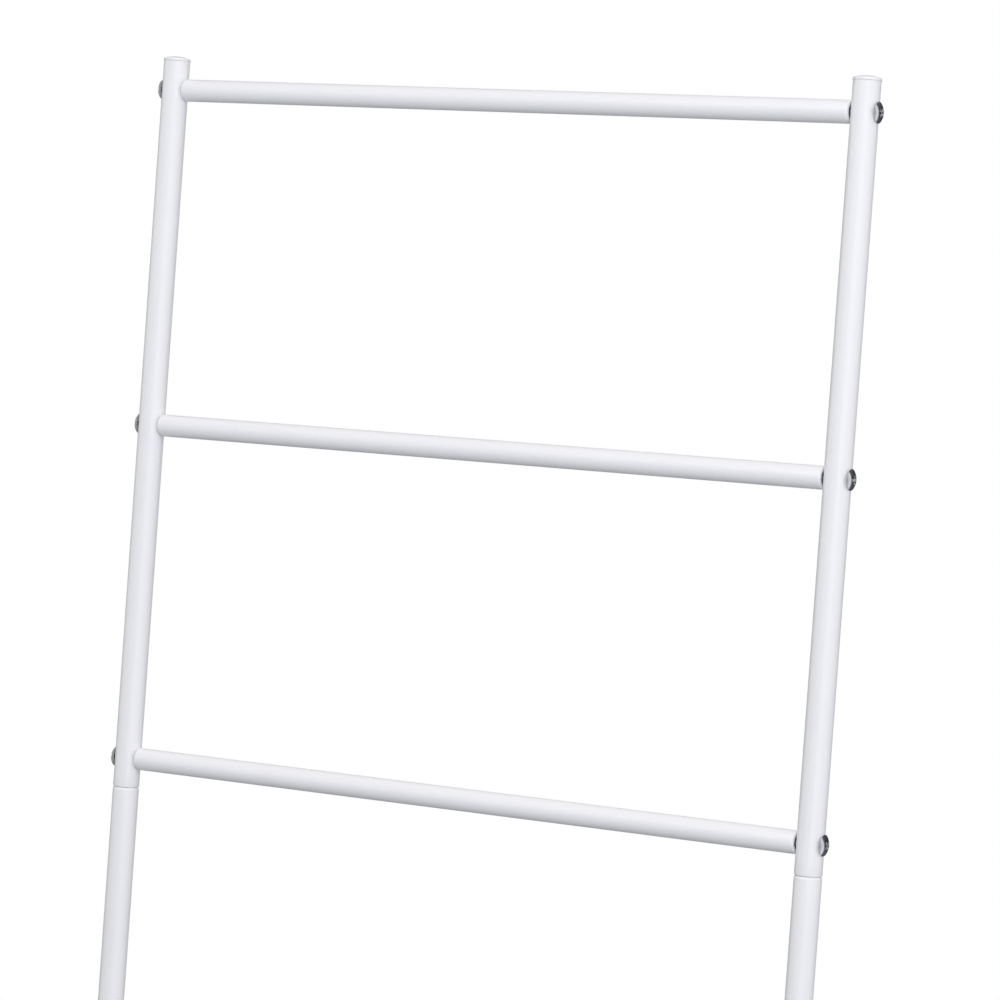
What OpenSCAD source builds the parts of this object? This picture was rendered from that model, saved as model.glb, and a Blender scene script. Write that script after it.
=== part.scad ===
// Leaning quilt rack: two sectional tube uprights joined by round rungs.
// +X runs along the rungs, +Y points at the wall, +Z is up and the floor is Z = 0.
// The origin is on the floor, midway between the feet, and midway between the front
// edge of the feet and the wall that the top of the rack rests on.
// "s" is a distance up an upright's centre line, measured from the floor.

/* [Stance] */
// Angle that the uprights lean back to the wall, in degrees
lean = 8.5; // [6:0.5:12]

/* [Uprights] */
// Outside diameter of the upright tubes
tube_d = 19; // [18:0.5:22]
// Wall thickness of the upright tubes
tube_wall = 1; // [0.8:0.1:1.2]
// Distance from each end of a tube section to its nearest screw hole
end_margin = 21; // [20:1:30]
// Radial play of a spigot in the tube above it
spigot_play = 0.1; // [0.05:0.05:0.3]
// Rounding of the shoulder below a spigot
shoulder_r = 1.6; // [1.3:0.1:4]
// Open seam between two joined sections
seam = 0.4; // [0.2:0.1:1]

/* [Rungs] */
// Outside diameter of the rungs
rung_d = 16; // [15:0.5:18]
// Wall thickness of the rungs
rung_wall = 1.2; // [1:0.1:1.5]
// Length of a rung, which is the clear width between the uprights
rung_len = 530; // [300:5:700]
// Distance from one rung to the next along the uprights
rung_pitch = 244; // [150:1:320]
// Radius of the opening that a rung's rolled-in rim leaves
rim_opening_r = 4.8; // [4:0.1:5.4]
// Rounding of a rung's rolled-in rim
rim_round = 1.5; // [1:0.1:2]

/* [Screws] */
// Thread diameter of the rung screws
screw_d = 6; // [5:1:6]
// Length of the shank under the head
screw_len = 34; // [30:1:36]
// Diameter of the domed head
head_d = 14.6; // [12:0.1:15]
// Height of the domed head
head_h = 3.1; // [2.5:0.1:4]
// Length of the threaded insert in each rung end
insert_len = 16; // [14:1:24]

/* [Caps and feet] */
// Diameter of the flange of a top cap
cap_d = 19.6; // [19:0.1:23]
// Height of a top cap above the tube, in the middle
cap_h = 3.4; // [3:0.1:5]
// Rounding of a top cap's edge
cap_round = 1.5; // [0.5:0.1:1.8]
// Radius of the dome on a top cap
cap_dome_r = 32; // [28:1:80]
// Length of the ribbed plug below a top cap's flange
cap_plug_len = 13; // [10:1:15]
// Wall thickness of a foot around its tube
foot_wall = 2; // [1.5:0.1:4]
// Height of a foot's cup above the end of its tube
foot_grip = 22; // [15:1:40]
// Thickness of rubber between a tube's end and the floor
foot_sole = 6; // [5:0.5:15]

/* [Hidden] */
$fn = 96;
SECTIONS = ["upper", "middle", "lower"];
RUNGS = 6;
SIDES = [["left", -1], ["right", 1]];

tube_r = tube_d / 2;
rung_r = rung_d / 2;
half_w = rung_len / 2 + tube_r;
screw_hole_d = screw_d + 0.5;
fit_play = 0.05;
// How far a cut runs past the face that it goes through
past = 1;

// Every section is cut to one length and drilled at one spacing. The spigot takes up
// both margins, so the screw of the rung above a seam also locks the spigot.
section_len = 2 * rung_pitch + 2 * end_margin;
spigot_len = 2 * end_margin;
spigot_r = tube_r - tube_wall - spigot_play;
shown_len = section_len - spigot_len;
top_s = foot_sole + 2 * shown_len + section_len;

// Where the front edge of a sole meets the floor and how far back a cap's edge reaches,
// before the rack is centred on the origin
front_y = -(tube_r + foot_wall) / cos(lean);
cap_edge_r = cap_d / 2 - cap_round;
cap_edge_h = cap_h - cap_dome_r + sqrt(pow(cap_dome_r - cap_round, 2) - pow(cap_edge_r, 2));
cap_edge_s = top_s + cap_edge_h;
back_y = cap_edge_r * cos(lean) + cap_edge_s * sin(lean) + cap_round;
shift_y = -(front_y + back_y) / 2;

// Heights of the rungs, counted down from the top one, and of the sections' lower ends
function rung_s(i) = top_s - end_margin - (i - 1) * rung_pitch;
function section_s(index) = foot_sole + (len(SECTIONS) - 1 - index) * shown_len;
function sphere_r(base_r, rise) = (base_r * base_r + rise * rise) / (2 * rise);

// Puts the children at height s on the leaning centre plane, side_x from the middle
module on_rack(side_x, s)
    translate([0, shift_y, 0])
        rotate([-lean, 0, 0])
            translate([side_x, 0, s])
                children();

// A half outline with a rounded outer corner at its top
module rounded_top(r, h, round) {
    square([r, h - round]);
    square([r - round, h]);
    translate([r - round, h - round])
        circle(r = round);
}

// One upright section from its lower end: a plain tube, or a tube with a spigot on top
module section_tube(spigot) {
    bore_r = tube_r - tube_wall;
    spigot_bore_r = spigot_r - tube_wall;
    shoulder_s = shown_len - seam - shoulder_r;
    neck_low = 2;
    neck_high = 1;
    end_round = 0.5;
    lead_in_w = 0.5;
    lead_in_h = 1;
    rotate_extrude()
        difference() {
            union() {
                translate([0, end_round])
                    square([tube_r, (spigot ? shoulder_s : section_len) - end_round]);
                square([tube_r - end_round, section_len / 2]);
                translate([tube_r - end_round, end_round])
                    circle(r = end_round);
                if (spigot) {
                    translate([tube_r - shoulder_r, shoulder_s])
                        circle(r = shoulder_r);
                    square([spigot_r, section_len - lead_in_h]);
                    square([spigot_r - lead_in_w, section_len]);
                }
            }
            if (spigot)
                polygon([
                    [0, -past],
                    [bore_r, -past],
                    [bore_r, shoulder_s - neck_low],
                    [spigot_bore_r, shoulder_s + neck_high],
                    [spigot_bore_r, section_len + past],
                    [0, section_len + past]
                ]);
            else
                translate([0, -past])
                    square([bore_r, section_len + 2 * past]);
        }
}

module upright(index, side_x) {
    low_s = section_s(index);
    color("whitesmoke")
        on_rack(side_x * half_w, 0)
            difference() {
                translate([0, 0, low_s])
                    section_tube(index > 0);
                for (i = [1:RUNGS])
                    if (rung_s(i) > low_s && rung_s(i) < low_s + section_len)
                        translate([0, 0, rung_s(i)])
                            rotate([0, 90, 0])
                                cylinder(h = tube_d + 2 * past, d = screw_hole_d, center = true);
            }
}

// A tube whose ends are rolled in to a rounded rim, along Z about its middle
module rung_tube() {
    end = rung_len / 2;
    rotate_extrude()
        difference() {
            for (way = [0, 1])
                mirror([0, way])
                    rounded_top(rung_r, end, rim_round);
            translate([0, -end - past])
                square([rim_opening_r, rung_len + 2 * past]);
            translate([0, -end + rung_wall])
                square([rung_r - rung_wall, rung_len - 2 * rung_wall]);
        }
}

module rung(i)
    color("whitesmoke")
        on_rack(0, rung_s(i))
            rotate([0, 90, 0])
                rung_tube();

// A grooved steel bush behind a rung's rim: its bore takes the screw
module rung_insert(i, side_x) {
    r = rung_r - rung_wall - fit_play;
    grooves = 3;
    groove_depth = 0.8;
    groove_h = 1;
    color("dimgray")
        on_rack(side_x * (rung_len / 2 - rung_wall - fit_play), rung_s(i))
            rotate([0, -90 * side_x, 0])
                rotate_extrude()
                    difference() {
                        square([r, insert_len]);
                        translate([0, -past])
                            square([screw_d / 2, insert_len + 2 * past]);
                        for (k = [1:grooves])
                            translate([r - groove_depth, k * insert_len / (grooves + 1) - groove_h / 2])
                                square([groove_depth + past, groove_h]);
                    }
}

// A domed screw along Z: the head's flat underside is Z = 0 and the shank points down
module screw(turn) {
    edge_h = 0.5;
    dome_r = sphere_r(head_d / 2, head_h - edge_h);
    shank_r = screw_d / 2 - fit_play;
    slot_w = 1.7;
    slot_len = 7.8;
    recess_depth = 2.2;
    recess_floor_r = 1;
    tip_h = 1;
    tip_w = 0.8;
    difference() {
        rotate_extrude()
            union() {
                square([head_d / 2, edge_h]);
                intersection() {
                    translate([0, head_h - dome_r])
                        circle(r = dome_r);
                    square([head_d / 2, head_h]);
                }
                translate([0, tip_h - screw_len])
                    square([shank_r, screw_len]);
                translate([0, -screw_len])
                    polygon([[0, 0], [shank_r - tip_w, 0], [shank_r, tip_h], [0, tip_h]]);
            }
        rotate([0, 0, turn])
            intersection() {
                for (quarter = [0, 90])
                    rotate([0, 0, quarter])
                        translate([0, 0, head_h])
                            cube([slot_len, slot_w, 2 * recess_depth], center = true);
                translate([0, 0, head_h - recess_depth])
                    cylinder(h = recess_depth + past, r1 = recess_floor_r, r2 = slot_len / 2 + past);
            }
    }
}

// The screws of one side: no two were driven home at the same turn
module screws(side_x) {
    rung_turn = 37;
    side_turn = 20;
    color("silver")
        for (i = [1:RUNGS])
            on_rack(side_x * (half_w + tube_r), rung_s(i))
                rotate([0, 90 * side_x, 0])
                    screw(rung_turn * i + side_turn * side_x);
}

// Half outline of a cap's flange: a domed top that runs into the rounded edge
module cap_flange() {
    meet_r = cap_edge_r * cap_dome_r / (cap_dome_r - cap_round);
    square([cap_d / 2, cap_edge_h]);
    translate([cap_edge_r, cap_edge_h])
        circle(r = cap_round);
    intersection() {
        square([meet_r, cap_h]);
        translate([0, cap_h - cap_dome_r])
            circle(r = cap_dome_r);
    }
}

// A domed cap on a hollow plug with springy ribs
module cap(side_x) {
    ribs = 3;
    rib_w = 1.15;
    rib_h = 0.8;
    plug_wall = 1.5;
    rib_r = tube_r - tube_wall - fit_play;
    core_r = rib_r - rib_w;
    color("white")
        on_rack(side_x * half_w, top_s)
            rotate_extrude()
                difference() {
                    union() {
                        cap_flange();
                        translate([0, -cap_plug_len])
                            square([core_r, cap_plug_len]);
                        for (k = [1:ribs])
                            translate([0, -k * cap_plug_len / (ribs + 1)])
                                square([rib_r, rib_h]);
                    }
                    translate([0, -cap_plug_len - past])
                        square([core_r - plug_wall, cap_plug_len + past]);
                }
}

// A rubber cup whose sole is cut level with the floor and grooved across
module foot(side_x) {
    outer_r = tube_r + foot_wall;
    below = 5;
    groove_w = 1.2;
    groove_h = 0.8;
    color("lightgray")
        difference() {
            on_rack(side_x * half_w, -below)
                rotate_extrude()
                    difference() {
                        rounded_top(outer_r, below + foot_sole + foot_grip, foot_wall / 2);
                        translate([0, below + foot_sole])
                            square([tube_r + fit_play, foot_grip + past]);
                    }
            translate([side_x * half_w, shift_y, -below])
                cube([4 * outer_r, 4 * outer_r, 2 * below], center = true);
            for (way = [-1, 1])
                translate([side_x * half_w, shift_y + way * outer_r / 2, 0])
                    cube([4 * outer_r, groove_w, 2 * groove_h], center = true);
        }
}

for (index = [0:len(SECTIONS) - 1])
    for (side = SIDES)
        upright(index, side[1]);

for (i = [1:RUNGS])
    rung(i);

for (i = [1:RUNGS])
    for (side = SIDES)
        rung_insert(i, side[1]);

for (side = SIDES) {
    screws(side[1]);
    cap(side[1]);
    foot(side[1]);
}
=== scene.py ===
import math

import bmesh
import bpy
from mathutils import Matrix, Vector


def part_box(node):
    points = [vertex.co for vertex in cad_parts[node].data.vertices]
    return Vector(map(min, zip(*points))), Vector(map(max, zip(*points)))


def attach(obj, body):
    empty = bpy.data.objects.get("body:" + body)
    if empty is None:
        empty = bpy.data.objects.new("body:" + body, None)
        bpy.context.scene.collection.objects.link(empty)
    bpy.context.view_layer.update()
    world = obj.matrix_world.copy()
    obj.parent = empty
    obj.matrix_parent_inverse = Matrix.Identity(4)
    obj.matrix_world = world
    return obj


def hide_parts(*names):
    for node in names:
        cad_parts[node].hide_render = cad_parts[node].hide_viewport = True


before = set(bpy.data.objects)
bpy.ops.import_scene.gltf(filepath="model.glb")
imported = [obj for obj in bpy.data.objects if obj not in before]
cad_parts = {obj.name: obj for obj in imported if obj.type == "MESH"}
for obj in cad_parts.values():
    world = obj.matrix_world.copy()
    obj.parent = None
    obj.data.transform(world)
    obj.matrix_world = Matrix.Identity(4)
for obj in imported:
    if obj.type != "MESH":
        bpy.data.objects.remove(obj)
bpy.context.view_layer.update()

# ---------------------------------------------------------------- dimensions
# Millimetres, named as in the CAD source. "s" is a distance up an upright's centre line
# from the floor, and local Z runs along it.
MM = 0.001
LEAN = math.radians(8.5)
TUBE_R = 9.5
TUBE_WALL = 1.0
END_MARGIN = 21.0
SPIGOT_PLAY = 0.1
SHOULDER_R = 1.6
SEAM = 0.4
RUNG_R = 8.0
RUNG_WALL = 1.2
RUNG_LEN = 530.0
RUNG_PITCH = 244.0
RIM_OPENING_R = 4.8
RIM_ROUND = 1.5
SCREW_LEN = 34.0
SHANK_R = 2.95
HEAD_R = 7.3
HEAD_H = 3.1
HAIR = 0.006  # keeps a finer curve inside the box of the CAD's facets
CAP_R = 9.8 - HAIR
CAP_H = 3.4 - HAIR
CAP_ROUND = 1.5
CAP_DOME_R = 32.0
CAP_PLUG_LEN = 13.0
FOOT_WALL = 2.0
FOOT_GRIP = 22.0
FOOT_SOLE = 6.0
SCREW_HOLE_R = 3.25
FIT_PLAY = 0.05

HALF_W = RUNG_LEN / 2 + TUBE_R
SECTION_LEN = 2 * RUNG_PITCH + 2 * END_MARGIN
SPIGOT_R = TUBE_R - TUBE_WALL - SPIGOT_PLAY
SHOWN_LEN = SECTION_LEN - 2 * END_MARGIN
TOP_S = FOOT_SOLE + 2 * SHOWN_LEN + SECTION_LEN
RUNG_S = [TOP_S - END_MARGIN - i * RUNG_PITCH for i in range(6)]
SECTIONS = ("upper", "middle", "lower")
SIDES = (("left", -1), ("right", 1))

# Steps around a turned piece and a screw hole, the angle from which an edge stays sharp,
# and how far a cutter sticks out of what it cuts
SEGMENTS = 120
HOLE_SEGMENTS = 48
SHARP_DEG = 38
PAST = 2.0

# The centre plane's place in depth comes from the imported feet, which are cut level.
foot_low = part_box("foot_left")[0]
SHIFT_Y = foot_low.y / MM + (TUBE_R + FOOT_WALL) / math.cos(LEAN)

RACK = (
    Matrix.Scale(MM, 4)
    @ Matrix.Translation((0, SHIFT_Y, 0))
    @ Matrix.Rotation(-LEAN, 4, "X")
)


# ---------------------------------------------------------------- mesh helpers
def arc(cx, cz, r, start, end, steps):
    """Points of a profile arc, angles in degrees, 0 along +r and 90 along +z."""
    out = []
    for k in range(steps + 1):
        a = math.radians(start + (end - start) * k / steps)
        out.append((cx + r * math.cos(a), cz + r * math.sin(a)))
    return out


def spaced(low, high, step):
    """Evenly spaced numbers from low to high, about step apart, both ends included."""
    n = max(1, round(abs(high - low) / step))
    return [low + (high - low) * k / n for k in range(n + 1)]


def lathe(bm, profile, closed=True):
    """Turns a profile of (r, z) points about Z. A closed profile joins its ends into a ring
    of wall; an open one starts and ends on the axis."""
    rings = []
    for r, z in profile:
        if r < 1e-6:
            rings.append([bm.verts.new((0, 0, z))])
            continue
        ring = []
        for k in range(SEGMENTS):
            a = 2 * math.pi * k / SEGMENTS
            ring.append(bm.verts.new((r * math.cos(a), r * math.sin(a), z)))
        rings.append(ring)
    pairs = list(zip(rings, rings[1:]))
    if closed:
        pairs.append((rings[-1], rings[0]))
    for low, high in pairs:
        for k in range(SEGMENTS):
            n = (k + 1) % SEGMENTS
            if len(low) == 1:
                bm.faces.new((low[0], high[n], high[k]))
            elif len(high) == 1:
                bm.faces.new((low[k], low[n], high[0]))
            else:
                bm.faces.new((low[k], low[n], high[n], high[k]))


def shade(mesh, sharp_deg):
    """Smooth shading with real corners kept sharp."""
    for face in mesh.polygons:
        face.use_smooth = True
    mesh.set_sharp_from_angle(angle=math.radians(sharp_deg))


def finish_mesh(bm, name, matrix, sharp_deg=SHARP_DEG):
    """Turns a bmesh into a linked object: placed, shaded, its normals outward."""
    bmesh.ops.recalc_face_normals(bm, faces=bm.faces)
    bmesh.ops.transform(bm, matrix=matrix, verts=bm.verts)
    if matrix.determinant() < 0:
        bmesh.ops.reverse_faces(bm, faces=bm.faces)
    mesh = bpy.data.meshes.new(name)
    bm.to_mesh(mesh)
    bm.free()
    shade(mesh, sharp_deg)
    piece = bpy.data.objects.new(name, mesh)
    bpy.context.scene.collection.objects.link(piece)
    return piece


def cut_away(piece, cutter):
    """Takes the cutter out of the piece and removes the cutter."""
    modifier = piece.modifiers.new("cut", "BOOLEAN")
    modifier.operation = "DIFFERENCE"
    modifier.solver = "EXACT"
    modifier.object = cutter
    bpy.context.view_layer.update()
    evaluated = piece.evaluated_get(bpy.context.evaluated_depsgraph_get())
    mesh = bpy.data.meshes.new_from_object(evaluated)
    piece.modifiers.clear()
    old, piece.data = piece.data, mesh
    mesh.name = piece.name
    bpy.data.meshes.remove(old)
    bpy.data.objects.remove(cutter)
    shade(mesh, SHARP_DEG)


def hand_over(piece, material, slot, *nodes):
    """Gives a finished piece its material and puts it on the frame in its nodes' stead."""
    piece.data.materials.clear()
    piece.data.materials.append(material)
    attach(piece, "root")
    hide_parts(*nodes)


# ---------------------------------------------------------------- materials
class Nodes:
    """A thin wrapper that makes and links shader nodes."""

    def __init__(self, tree):
        self.tree = tree

    def add(self, kind, inputs=None, **settings):
        node = self.tree.nodes.new(kind)
        for key, value in settings.items():
            setattr(node, key, value)
        for key, value in (inputs or {}).items():
            if isinstance(value, bpy.types.NodeSocket):
                self.tree.links.new(value, node.inputs[key])
            else:
                node.inputs[key].default_value = value
        return node

    def noise(self, where, scale, detail=2.0, roughness=0.5):
        node = self.add(
            "ShaderNodeTexNoise",
            {"Vector": where, "Scale": scale, "Detail": detail, "Roughness": roughness},
        )
        return node.outputs["Fac"]

    def between(self, value, low, high):
        """Maps 0..1 to low..high."""
        node = self.add(
            "ShaderNodeMapRange", {"Value": value, "To Min": low, "To Max": high}
        )
        return node.outputs["Result"]

    def ramp(self, value, dark, bright):
        """0 at dark and beyond it, 1 at bright and beyond it."""
        node = self.add(
            "ShaderNodeMapRange", {"Value": value, "From Min": dark, "From Max": bright}
        )
        return node.outputs["Result"]

    def blend(self, factor, first, second):
        """A colour from first to second."""
        node = self.add("ShaderNodeMix", data_type="RGBA")
        for key, value in ((0, factor), (6, first), (7, second)):
            if isinstance(value, bpy.types.NodeSocket):
                self.tree.links.new(value, node.inputs[key])
            else:
                node.inputs[key].default_value = value
        return node.outputs[2]

    def bump(self, height, distance, normal=None):
        inputs = {"Height": height, "Distance": distance, "Strength": 1.0}
        if normal is not None:
            inputs["Normal"] = normal
        return self.add("ShaderNodeBump", inputs).outputs["Normal"]


def new_material(name):
    material = bpy.data.materials.new(name)
    material.use_nodes = True
    tree = material.node_tree
    nodes = Nodes(tree)
    shader = tree.nodes["Principled BSDF"]
    where = nodes.add("ShaderNodeTexCoord").outputs["Object"]
    return material, nodes, shader, where


def plug(nodes, shader, **links):
    names = {"colour": "Base Color", "roughness": "Roughness", "normal": "Normal"}
    for key, socket in links.items():
        nodes.tree.links.new(socket, shader.inputs[names[key]])


def powder_coat():
    """Satin white powder coat: fine orange peel over a slow waviness."""
    material, nodes, shader, where = new_material("powder_coat")
    cloud = nodes.noise(where, 9.0, 3.0)
    peel = nodes.noise(where, 620.0, 2.0, 0.45)
    wave = nodes.noise(where, 95.0, 1.0)
    fleck = nodes.noise(where, 2600.0, 1.0)
    colour = nodes.blend(cloud, (0.842, 0.847, 0.862, 1), (0.866, 0.869, 0.882, 1))
    plug(
        nodes,
        shader,
        colour=colour,
        roughness=nodes.between(peel, 0.30, 0.42),
        normal=nodes.bump(
            fleck, 2.0e-6, nodes.bump(peel, 2.2e-5, nodes.bump(wave, 2.5e-5))
        ),
    )
    shader.inputs["Specular IOR Level"].default_value = 0.5
    shader.inputs["IOR"].default_value = 1.5
    return material


def nickel_plate():
    """Bright plating with faint tumbling marks and a soft stain in the plating."""
    material, nodes, shader, where = new_material("nickel_plate")
    stain = nodes.noise(where, 260.0, 3.0)
    scratch = nodes.noise(where, 4200.0, 2.0, 0.6)
    plug(
        nodes,
        shader,
        colour=nodes.blend(stain, (0.69, 0.69, 0.70, 1), (0.75, 0.748, 0.745, 1)),
        roughness=nodes.between(stain, 0.12, 0.24),
        normal=nodes.bump(scratch, 1.2e-6),
    )
    shader.inputs["Metallic"].default_value = 1.0
    return material


def insert_steel():
    """Dull turned steel of the bushes inside the rungs."""
    material, nodes, shader, where = new_material("insert_steel")
    stain = nodes.noise(where, 400.0, 3.0)
    turned = nodes.add(
        "ShaderNodeTexWave",
        {"Vector": where, "Scale": 900.0, "Distortion": 1.5, "Detail": 1.0},
        wave_type="BANDS",
        bands_direction="X",
    ).outputs["Fac"]
    plug(
        nodes,
        shader,
        colour=nodes.blend(stain, (0.36, 0.36, 0.37, 1), (0.5, 0.5, 0.51, 1)),
        roughness=nodes.between(stain, 0.34, 0.5),
        normal=nodes.bump(turned, 6.0e-6),
    )
    shader.inputs["Metallic"].default_value = 1.0
    return material


def cap_plastic():
    """Moulded white plastic with a fine spark-eroded grain."""
    material, nodes, shader, where = new_material("cap_plastic")
    cloud = nodes.noise(where, 120.0, 2.0)
    grain = nodes.noise(where, 2400.0, 2.0, 0.6)
    plug(
        nodes,
        shader,
        colour=nodes.blend(cloud, (0.83, 0.835, 0.86, 1), (0.86, 0.862, 0.88, 1)),
        roughness=nodes.between(grain, 0.2, 0.32),
        normal=nodes.bump(grain, 1.4e-5),
    )
    return material


def foot_rubber():
    """Light grey rubber with a matt moulded skin and a little dust in the hollows."""
    material, nodes, shader, where = new_material("foot_rubber")
    cloud = nodes.noise(where, 110.0, 5.0, 0.65)
    grain = nodes.noise(where, 1700.0, 3.0, 0.65)
    dust = nodes.noise(where, 750.0, 6.0, 0.7)
    colour = nodes.blend(cloud, (0.33, 0.33, 0.34, 1), (0.41, 0.41, 0.415, 1))
    bloom = nodes.add(
        "ShaderNodeMapRange",
        {"Value": dust, "From Min": 0.52, "From Max": 0.78, "To Max": 0.28},
    ).outputs["Result"]
    plug(
        nodes,
        shader,
        colour=nodes.blend(bloom, colour, (0.58, 0.58, 0.58, 1)),
        roughness=nodes.between(grain, 0.6, 0.85),
        normal=nodes.bump(grain, 7.0e-5),
    )
    shader.inputs["Specular IOR Level"].default_value = 0.35
    return material


COAT = powder_coat()
PLATE = nickel_plate()
STEEL = insert_steel()
PLASTIC = cap_plastic()
RUBBER = foot_rubber()


# ---------------------------------------------------------------- uprights
# Rings along a tube, and those on both sides of a screw, where the wall bends
RING_STEP = 24
NEAR_REACH = 12
NEAR_STEP = 0.75
# Broken edges of a section's two ends
LOWER_EDGE = 0.5
LOWER_BORE_EDGE = 0.2
UPPER_EDGE = 0.25
BORE_EDGE = 0.15
# The spigot's lead-in, and how far its swaged neck reaches inside, below and above the
# shoulder
LEAD_IN_W = 0.5
LEAD_IN_H = 1
NECK_LOW = 2
NECK_HIGH = 1
# The shallow seat that a tightened screw presses into the wall
SEAT_DEPTH = 0.16
SEAT_FLAT_R = 4.5
SEAT_REACH = 10.0


def section_profile(spigot, screws):
    """Half outline of a section from its lower end, rings close together at the screws."""
    bore_r = TUBE_R - TUBE_WALL
    spigot_bore_r = SPIGOT_R - TUBE_WALL
    shoulder_s = SHOWN_LEN - SEAM - SHOULDER_R
    top = shoulder_s if spigot else SECTION_LEN - UPPER_EDGE
    inner_top = shoulder_s - NECK_LOW if spigot else SECTION_LEN - BORE_EDGE
    profile = arc(TUBE_R - LOWER_EDGE, LOWER_EDGE, LOWER_EDGE, -90, 0, 4)
    stops = set(spaced(LOWER_EDGE, top, RING_STEP)[1:])
    for s in screws:
        stops = {v for v in stops if abs(v - s) > NEAR_REACH + 0.5}
        near = spaced(s - NEAR_REACH, s + NEAR_REACH, NEAR_STEP)
        stops |= {v for v in near if 1 < v < top - 1}
    stops |= {top}
    profile += [(TUBE_R, v) for v in sorted(stops)]
    if spigot:
        flank = math.degrees(math.acos((SPIGOT_R - TUBE_R + SHOULDER_R) / SHOULDER_R))
        profile += arc(TUBE_R - SHOULDER_R, shoulder_s, SHOULDER_R, 0, flank, 10)[1:]
        profile += [(SPIGOT_R, SECTION_LEN - LEAD_IN_H), (SPIGOT_R - LEAD_IN_W, SECTION_LEN)]
        profile += [(spigot_bore_r, SECTION_LEN), (spigot_bore_r, shoulder_s + NECK_HIGH)]
    else:
        profile += [(TUBE_R - UPPER_EDGE, SECTION_LEN), (bore_r + BORE_EDGE, SECTION_LEN)]
    profile += [(bore_r, v) for v in spaced(inner_top, LOWER_BORE_EDGE, RING_STEP)]
    profile += [(bore_r + LOWER_BORE_EDGE, 0)]
    return profile


def seat_depth(y, z):
    """How far a tightened screw has pulled the wall in, y across and z along from it."""
    d = math.hypot(y, z)
    if d >= SEAT_REACH:
        return 0.0
    t = 1 - max(0.0, d - SEAT_FLAT_R) / (SEAT_REACH - SEAT_FLAT_R)
    return SEAT_DEPTH * t * t * (3 - 2 * t)


def upright(index, side, way):
    low_s = FOOT_SOLE + (2 - index) * SHOWN_LEN
    screws = [s - low_s for s in RUNG_S if low_s < s < low_s + SECTION_LEN]
    bm = bmesh.new()
    lathe(bm, section_profile(index > 0, screws))
    for v in bm.verts:
        if v.co.x * way > 0 and math.hypot(v.co.x, v.co.y) > TUBE_R - TUBE_WALL / 2:
            v.co.x -= way * sum(seat_depth(v.co.y, v.co.z - s) for s in screws)
    at = RACK @ Matrix.Translation((way * HALF_W, 0, low_s))
    piece = finish_mesh(bm, f"tube_{SECTIONS[index]}_{side}", at)
    bm = bmesh.new()
    for s in screws:
        turn = Matrix.Translation((0, 0, s)) @ Matrix.Rotation(math.pi / 2, 4, "Y")
        bmesh.ops.create_cone(
            bm,
            cap_ends=True,
            segments=HOLE_SEGMENTS,
            radius1=SCREW_HOLE_R,
            radius2=SCREW_HOLE_R,
            depth=2 * (TUBE_R + PAST),
            matrix=turn,
        )
    cut_away(piece, finish_mesh(bm, "cutter", at))
    hand_over(piece, COAT, "powder_coat", f"upright_{SECTIONS[index]}_{side}")


for index in range(3):
    for side, way in SIDES:
        upright(index, side, way)


# ---------------------------------------------------------------- rungs
def rung_profile():
    """Closed half outline of a rung: a tube with its ends rolled in to a rounded rim."""
    end = RUNG_LEN / 2
    inner_end = end - RUNG_WALL
    bore_r = RUNG_R - RUNG_WALL
    lip = 0.45
    edge = 0.2
    fillet = 0.6
    ring_step = 26
    half = [(RUNG_R, v) for v in spaced(0, end - RIM_ROUND, ring_step)]
    half += arc(RUNG_R - RIM_ROUND, end - RIM_ROUND, RIM_ROUND, 0, 90, 10)[1:]
    half += arc(RIM_OPENING_R + lip, end - lip, lip, 90, 180, 5)
    half += [(RIM_OPENING_R, inner_end + edge), (RIM_OPENING_R + edge, inner_end)]
    half += arc(bore_r - fillet, inner_end - fillet, fillet, 90, 0, 4)
    half += [(bore_r, 0)]
    mirrored = [(r, -z) for r, z in reversed(half[1:-1])]
    return half + mirrored


def rung(i):
    bm = bmesh.new()
    lathe(bm, rung_profile())
    at = RACK @ Matrix.Translation((0, 0, RUNG_S[i - 1]))
    at = at @ Matrix.Rotation(math.pi / 2, 4, "Y")
    piece = finish_mesh(bm, f"rung_{i}_tube", at)
    hand_over(piece, COAT, "powder_coat", f"rung_{i}")


for i in range(1, 7):
    rung(i)


# ---------------------------------------------------------------- screws
# The cross recess: its walls blend into the dome over twice RECESS_BLUR
SLOT_HALF_W = 0.85
SLOT_HALF_LEN = 3.9
RECESS_DEPTH = 2.2
RECESS_FLOOR_R = 1.0
RECESS_BLUR = 0.09
# The head's low cylindrical edge, which tapers a little and rolls in underneath
HEAD_EDGE_H = 0.5
HEAD_TAPER = 0.03
EDGE_ROLL_W = 3.4
EDGE_ROLL_H = 0.48
HEAD_SHARP_DEG = 50
DOME_RISE = HEAD_H - HEAD_EDGE_H
DOME_R = (HEAD_R**2 + DOME_RISE**2) / (2 * DOME_RISE)
# The head's grid is square up to GRID_CORE and turns into a circle at GRID_RIM
GRID_CORE = 4.2
GRID_RIM = HEAD_R - 0.12
# The screws stopped at different turns, in degrees
TURN_STEP = 37
TURN_SIDE = 20


def smoothstep(t):
    t = min(1.0, max(0.0, t))
    return t * t * (3 - 2 * t)


def head_height(x, y):
    """Height of the head's top at a point: a dome with a tapered cross sunk into it."""
    rho = math.hypot(x, y)
    dome = HEAD_H - DOME_R + math.sqrt(DOME_R**2 - rho**2)
    past = 1  # the slots' sloping ends are carried on above the dome
    slope = (RECESS_DEPTH + past) / (SLOT_HALF_LEN + past - RECESS_FLOOR_R)
    floor_z = HEAD_H - RECESS_DEPTH + max(0.0, rho - RECESS_FLOOR_R) * slope
    inside = smoothstep(0.5 - (min(abs(x), abs(y)) - SLOT_HALF_W) / (2 * RECESS_BLUR))
    return dome + (min(dome, floor_z) - dome) * inside


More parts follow.
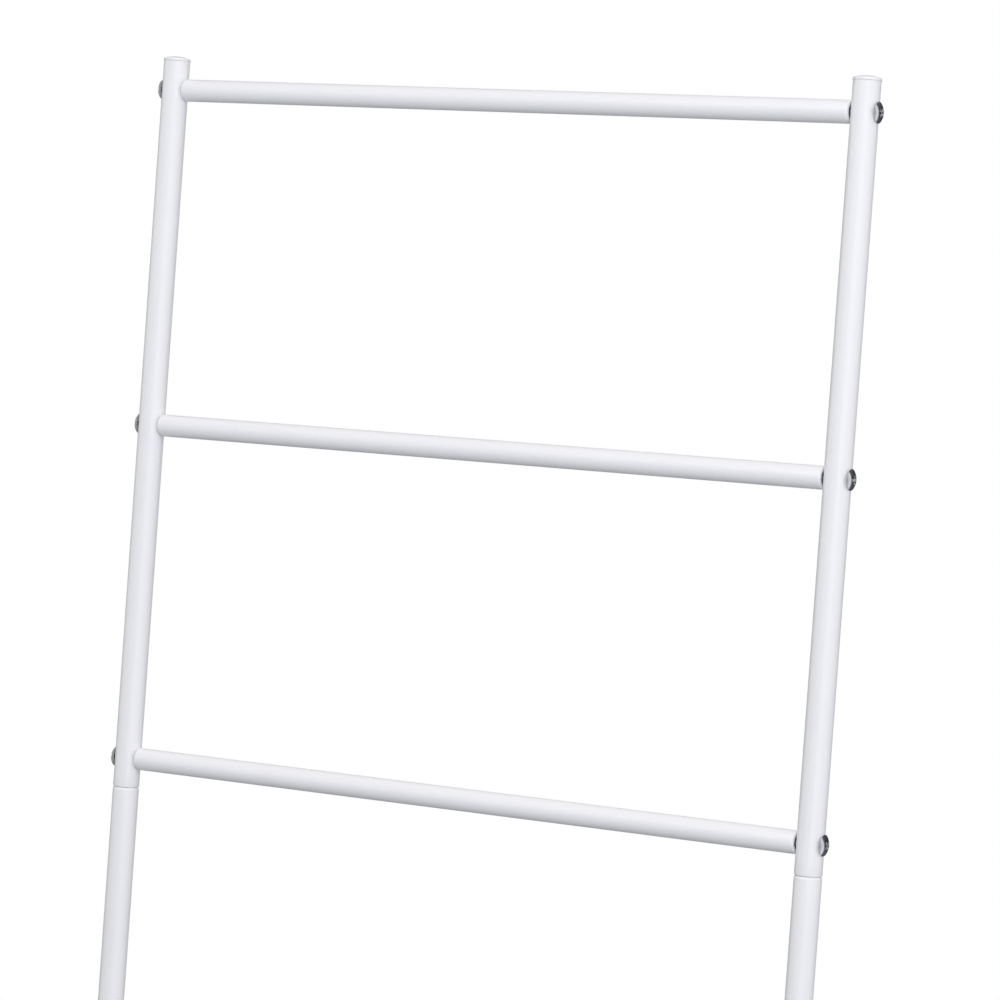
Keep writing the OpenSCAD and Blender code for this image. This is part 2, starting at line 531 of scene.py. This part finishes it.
def head_lines():
    """Grid lines across the head, close together along the walls of the cross."""
    half = [0.0, 0.22, 0.45, 0.62]
    half += [SLOT_HALF_W + 0.03 * k for k in range(-4, 5)]
    half += [1.08, 1.25]
    half += spaced(1.5, GRID_CORE, 0.26)
    half += spaced(GRID_CORE, GRID_RIM, 0.34)[1:]
    return [-v for v in reversed(half[1:])] + half


def screw(bm, matrix):
    """A domed screw along Z: the head's underside is at Z = 0 and the shank points down."""
    lines = head_lines()
    n = len(lines)
    made = []
    grid = []
    for x in lines:
        row = []
        for y in lines:
            m = max(abs(x), abs(y))
            px, py = x, y
            if m > GRID_CORE:
                t = (m - GRID_CORE) / (GRID_RIM - GRID_CORE)
                f = (1 - t) + t * m / math.hypot(x, y)
                px, py = x * f, y * f
            row.append(bm.verts.new((px, py, head_height(px, py))))
        grid.append(row)
        made += row
    for a in range(n - 1):
        for b in range(n - 1):
            bm.faces.new((grid[a][b], grid[a + 1][b], grid[a + 1][b + 1], grid[a][b + 1]))
    loop = [grid[k][0] for k in range(n - 1)]
    loop += [grid[n - 1][k] for k in range(n - 1)]
    loop += [grid[n - 1 - k][n - 1] for k in range(n - 1)]
    loop += [grid[0][n - 1 - k] for k in range(n - 1)]
    neck = 0.25
    point_w = 0.8
    point_h = 1
    outline = [(HEAD_R - HEAD_TAPER, HEAD_EDGE_H)]
    outline += [
        (HEAD_R + (r - 1) * EDGE_ROLL_W, z * EDGE_ROLL_H) for r, z in arc(0, 1, 1, 0, -90, 9)
    ]
    outline += [(SHANK_R + neck, 0), (SHANK_R, -neck), (SHANK_R, point_h - SCREW_LEN)]
    outline += [(SHANK_R - point_w, -SCREW_LEN)]
    for r, z in outline:
        ring = []
        for v in loop:
            flat = math.hypot(v.co.x, v.co.y)
            ring.append(bm.verts.new((v.co.x / flat * r, v.co.y / flat * r, z)))
        for k in range(len(loop)):
            o = (k + 1) % len(loop)
            bm.faces.new((loop[o], loop[k], ring[k], ring[o]))
        made += ring
        loop = ring
    bm.faces.new(loop)
    bmesh.ops.transform(bm, matrix=matrix, verts=made)


def screws(side, way):
    bm = bmesh.new()
    for i, s in enumerate(RUNG_S, 1):
        turn = math.radians(TURN_STEP * i + TURN_SIDE * way)
        screw(
            bm,
            Matrix.Translation((way * (HALF_W + TUBE_R), 0, s))
            @ Matrix.Rotation(way * math.pi / 2, 4, "Y")
            @ Matrix.Rotation(turn, 4, "Z"),
        )
    piece = finish_mesh(bm, f"screws_{side}_plated", RACK, HEAD_SHARP_DEG)
    hand_over(piece, PLATE, "screw_plate", f"screws_{side}")


for side, way in SIDES:
    screws(side, way)


# ---------------------------------------------------------------- caps
def cap(side, way):
    """A moulded flange with a domed top, on a hollow plug with springy ribs."""
    gate_r = 1.4
    gate_h = 0.12
    under_round = 0.3
    ribs = 3
    rib_w = 1.15
    rib_h = 0.8
    plug_wall = 1.5
    plug_edge = 0.4
    rib_r = TUBE_R - TUBE_WALL - FIT_PLAY
    core_r = rib_r - rib_w
    edge_r = CAP_R - CAP_ROUND
    inner_dome_r = CAP_DOME_R - CAP_ROUND
    dome_z = CAP_H - CAP_DOME_R
    edge_z = dome_z + math.sqrt(inner_dome_r**2 - edge_r**2)
    flank = math.degrees(math.acos(edge_r / inner_dome_r))
    gate = math.degrees(math.acos(gate_r / CAP_DOME_R))
    profile = [(0, CAP_H - gate_h), (gate_r - 0.2, CAP_H - gate_h)]
    profile += arc(0, dome_z, CAP_DOME_R, gate, flank, 12)
    profile += arc(edge_r, edge_z, CAP_ROUND, flank, 0, 12)[1:]
    profile += arc(CAP_R - under_round, under_round, under_round, 0, -90, 4)
    profile += [(core_r, 0)]
    for k in range(1, ribs + 1):
        z = rib_h - k * CAP_PLUG_LEN / (ribs + 1)
        profile += [(core_r, z), (rib_r - 0.1, z), (rib_r, z - 0.15)]
        profile += [(rib_r - 0.2, z - rib_h), (core_r, z - rib_h)]
    profile += [(core_r, plug_edge - CAP_PLUG_LEN), (core_r - plug_edge, -CAP_PLUG_LEN)]
    profile += [(core_r - plug_wall, -CAP_PLUG_LEN), (core_r - plug_wall, 0), (0, 0)]
    bm = bmesh.new()
    lathe(bm, profile, closed=False)
    at = RACK @ Matrix.Translation((way * HALF_W, 0, TOP_S))
    piece = finish_mesh(bm, f"cap_{side}_moulded", at)
    hand_over(piece, PLASTIC, "cap_plastic", f"cap_{side}")


for side, way in SIDES:
    cap(side, way)


# ---------------------------------------------------------------- feet
GRIP_GROOVES = (9.0, 12.5)
GRIP_GROOVE_W = 1.8
GRIP_GROOVE_H = 0.5
SOLE_GROOVE_W = 1.2
SOLE_GROOVE_H = 0.8
FOOT_LIP = 1


def cut_blocks(piece, blocks):
    """Takes blocks out of a piece, each with its centre and size in millimetres."""
    bm = bmesh.new()
    for centre, size in blocks:
        place = Matrix.Translation(centre) @ Matrix.Diagonal((*size, 1))
        bmesh.ops.create_cube(bm, size=1, matrix=place)
    cut_away(piece, finish_mesh(bm, "cutter", Matrix.Scale(MM, 4)))


def foot(side, way):
    """A rubber cup: rolled lip, two grip grooves, and a sole cut level with the floor."""
    outer_r = TUBE_R + FOOT_WALL
    inner_r = TUBE_R + FIT_PLAY
    mouth = 0.3
    below = 5.0
    steps = 8
    top = FOOT_SOLE + FOOT_GRIP
    profile = [(0, -below), (outer_r, -below)]
    for centre in GRIP_GROOVES:
        low = centre - GRIP_GROOVE_W / 2
        profile += [(outer_r, low)]
        profile += [
            (
                outer_r - GRIP_GROOVE_H * math.sin(math.pi * k / steps),
                low + GRIP_GROOVE_W * k / steps,
            )
            for k in range(1, steps)
        ]
        profile += [(outer_r, low + GRIP_GROOVE_W)]
    profile += [(outer_r, top - FOOT_LIP)]
    profile += arc(outer_r - FOOT_LIP, top - FOOT_LIP, FOOT_LIP, 0, 90, 8)[1:]
    profile += [(inner_r + mouth, top), (inner_r, top - mouth)]
    profile += [(inner_r, FOOT_SOLE), (0, FOOT_SOLE)]
    bm = bmesh.new()
    lathe(bm, profile, closed=False)
    at = RACK @ Matrix.Translation((way * HALF_W, 0, 0))
    piece = finish_mesh(bm, f"foot_{side}_moulded", at)
    middle = Vector((way * HALF_W, SHIFT_Y, 0))
    wide = 60
    deep = 20
    cut_blocks(piece, [(middle - Vector((0, 0, deep / 2)), (wide, wide, deep))])
    groove = (wide, SOLE_GROOVE_W, 2 * SOLE_GROOVE_H)
    cut_blocks(
        piece,
        [(middle + Vector((0, step * outer_r / 2, 0)), groove) for step in (-1, 1)],
    )
    hand_over(piece, RUBBER, "foot_rubber", f"foot_{side}")


for side, way in SIDES:
    foot(side, way)

for i in range(1, 7):
    for side, way in SIDES:
        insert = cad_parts[f"rung_{i}_insert_{side}"]
        for slot in insert.material_slots:
            slot.material = STEEL


# ---------------------------------------------------------------- stage
FLOOR_R = 2.9
FADE_FROM_R = 1.0
# The light from below, from the horizon and from above
WORLD_STOPS = (
    (0.0, (0.60, 0.62, 0.65)),
    (0.5, (0.0, 0.0, 0.0)),
    (1.0, (0.83, 0.78, 0.74)),
)
# What shiny surfaces see instead: that light dimmed towards a dark room, and a bright wall
GLOSS_DIM = 0.8
GLOSS_DARK = (0.034, 0.036, 0.052, 1)
GLOSS_WALL = (0.98, 1.0, 1.06, 1)
AIM = (0.0, 0.02, 1.15)
# name, place, width and height, radiance, colour, the part of a surface it lights
SOFTBOXES = (
    ("key_above", (0.3, -2.3, 3.3), (2.8, 1.6), 3.57, (0.965, 0.98, 1.045), "all"),
    ("front_right", (2.4, -2.6, 1.7), (1.6, 2.0), 3.08, (1.0, 1.01, 0.99), "all"),
    ("right", (3.3, -0.7, 1.6), (1.4, 2.2), 2.1, (0.92, 0.96, 1.1), "matt"),
    ("behind_right", (2.8, 1.9, 1.6), (1.6, 2.2), 1.86, (1.0, 0.96, 1.05), "matt"),
    ("left", (-3.3, -0.7, 1.6), (1.4, 2.2), 1.35, (1.02, 1.05, 0.93), "all"),
    ("front_left", (-2.3, -2.5, 1.7), (1.6, 2.0), 0.45, (0.75, 0.9, 1.35), "all"),
    ("low_front", (0.2, -2.2, 0.1), (2.8, 1.4), 0.12, (1.0, 1.0, 1.0), "all"),
    ("behind", (-1.0, 3.2, 1.7), (2.4, 2.2), 1.8, (1.0, 1.0, 1.0), "matt"),
    ("above_behind", (0.0, 2.3, 3.3), (2.8, 1.6), 0.23, (1.0, 1.0, 1.0), "all"),
)


def floor():
    """A pale round floor that fades out into the white surround."""
    bm = bmesh.new()
    bmesh.ops.create_circle(bm, cap_ends=True, segments=128, radius=FLOOR_R)
    mesh = bpy.data.meshes.new("floor")
    bm.to_mesh(mesh)
    bm.free()
    piece = bpy.data.objects.new("floor", mesh)
    bpy.context.scene.collection.objects.link(piece)
    material, nodes, shader, where = new_material("floor")
    shader.inputs["Base Color"].default_value = (0.86, 0.86, 0.87, 1)
    shader.inputs["Roughness"].default_value = 0.7
    shader.inputs["Specular IOR Level"].default_value = 0.2
    away = nodes.add("ShaderNodeVectorMath", {0: where}, operation="LENGTH")
    fade = nodes.add(
        "ShaderNodeMapRange",
        {"Value": away.outputs["Value"], "From Min": FADE_FROM_R, "From Max": FLOOR_R - 0.1},
        interpolation_type="SMOOTHSTEP",
    )
    clear = nodes.add("ShaderNodeBsdfTransparent")
    mix = nodes.add(
        "ShaderNodeMixShader",
        {0: fade.outputs["Result"], 1: shader.outputs[0], 2: clear.outputs[0]},
    )
    output = material.node_tree.nodes["Material Output"]
    material.node_tree.links.new(mix.outputs[0], output.inputs["Surface"])
    mesh.materials.append(material)
    # the surround's lower half already holds the light that comes up from the floor
    piece.visible_diffuse = False
    piece.visible_glossy = False
    piece.visible_shadow = False


def surround():
    """White where it is seen directly, and a soft studio where it lights the rack. Shiny
    surfaces see a darker room, with a wall on the right that is brightest at its rear."""
    world = bpy.data.worlds.new("studio")
    bpy.context.scene.world = world
    world.use_nodes = True
    nodes = Nodes(world.node_tree)
    background = world.node_tree.nodes["Background"]
    direction = nodes.add("ShaderNodeTexCoord").outputs["Generated"]
    right, back, up = nodes.add("ShaderNodeSeparateXYZ", {0: direction}).outputs
    glow = nodes.add("ShaderNodeValToRGB", {0: nodes.ramp(up, -1.0, 1.0)})
    steps = glow.color_ramp.elements
    steps[0].position, steps[1].position = WORLD_STOPS[0][0], WORLD_STOPS[-1][0]
    steps[0].color = (*WORLD_STOPS[0][1], 1)
    steps[1].color = (*WORLD_STOPS[-1][1], 1)
    for position, colour in WORLD_STOPS[1:-1]:
        steps.new(position).color = (*colour, 1)
    glow = glow.outputs["Color"]
    wall = 1.0
    for value, dark, bright in ((right, 0.05, 0.3), (back, 0.46, 0.32), (back, -0.55, 0.3)):
        part = nodes.ramp(value, dark, bright)
        wall = nodes.add("ShaderNodeMath", {0: wall, 1: part}, operation="MULTIPLY")
        wall = wall.outputs[0]
    mirrored = nodes.blend(GLOSS_DIM, glow, GLOSS_DARK)
    mirrored = nodes.blend(wall, mirrored, GLOSS_WALL)
    path = nodes.add("ShaderNodeLightPath").outputs
    colour = nodes.blend(path["Is Glossy Ray"], glow, mirrored)
    colour = nodes.blend(path["Is Camera Ray"], colour, (1, 1, 1, 1))
    world.node_tree.links.new(colour, background.inputs["Color"])


def softbox(name, place, size, radiance, colour, lights):
    """A rectangular soft light, turned to AIM. Radiance 1 looks as bright as the white
    surround. It lights "all" of a surface, or only its "matt" part."""
    data = bpy.data.lights.new(name, "AREA")
    data.shape = "RECTANGLE"
    data.size, data.size_y = size
    data.energy = radiance * math.pi * size[0] * size[1]
    data.color = colour
    light = bpy.data.objects.new(name, data)
    light.location = place
    towards = Vector(AIM) - Vector(place)
    light.rotation_euler = towards.to_track_quat("-Z", "Y").to_euler()
    light.visible_camera = False
    light.visible_glossy = lights == "all"
    bpy.context.scene.collection.objects.link(light)


floor()
surround()
for box in SOFTBOXES:
    softbox(*box)

# ---------------------------------------------------------------- camera
YAW = math.radians(29.31)
PITCH = math.radians(8.79)
camera_data = bpy.data.cameras.new("camera")
camera_data.sensor_width = 36
camera_data.lens = 148.27
camera_data.clip_end = 100
camera = bpy.data.objects.new("camera", camera_data)
camera.location = (1.40484, -2.39863, 1.63799)
camera.rotation_euler = (math.pi / 2 - PITCH, 0, YAW)
bpy.context.scene.collection.objects.link(camera)
bpy.context.scene.camera = camera
bpy.context.scene.view_settings.view_transform = "Standard"
